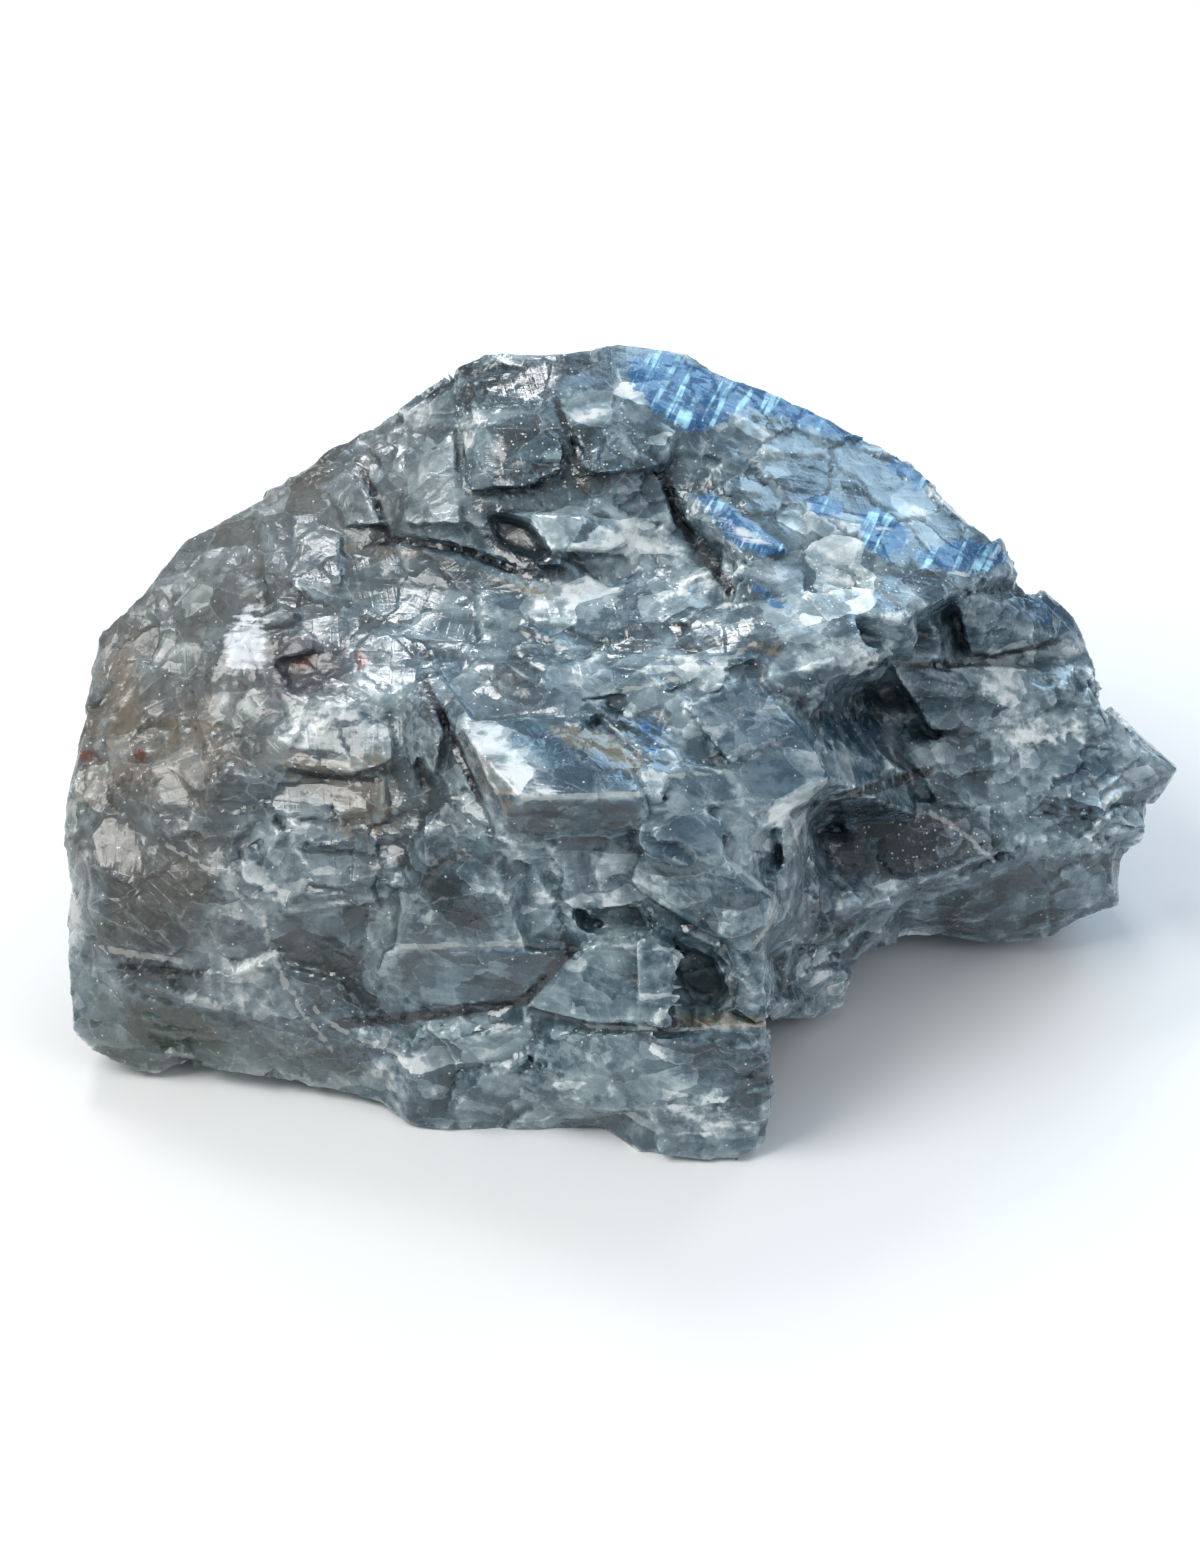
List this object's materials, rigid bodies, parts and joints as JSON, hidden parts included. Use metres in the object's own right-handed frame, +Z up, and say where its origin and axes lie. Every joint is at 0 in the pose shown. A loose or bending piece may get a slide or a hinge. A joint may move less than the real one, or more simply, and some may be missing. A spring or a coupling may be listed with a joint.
{
  "type": "rough calcite specimen",
  "caption": "Rough, broken lump of slate-blue translucent calcite, cleaved into ledges and blocks, lying on a flat broken base.",
  "frame": {"origin": "middle of the stone's bounding box, on the table it lies on", "axes": "+X to the right as the picture shows the stone, its longest way; +Y away from the viewer; +Z up from the flat broken base, its shortest way"},
  "size_m": [0.1138, 0.0782, 0.056],
  "materials": {
    "calcite": "cleaved and weathered, half translucent, glossy on cleavage faces and matt where worn"
  },
  "bodies": {
    "root": {"calcite_rough": "calcite"}
  },
  "joints": []
}
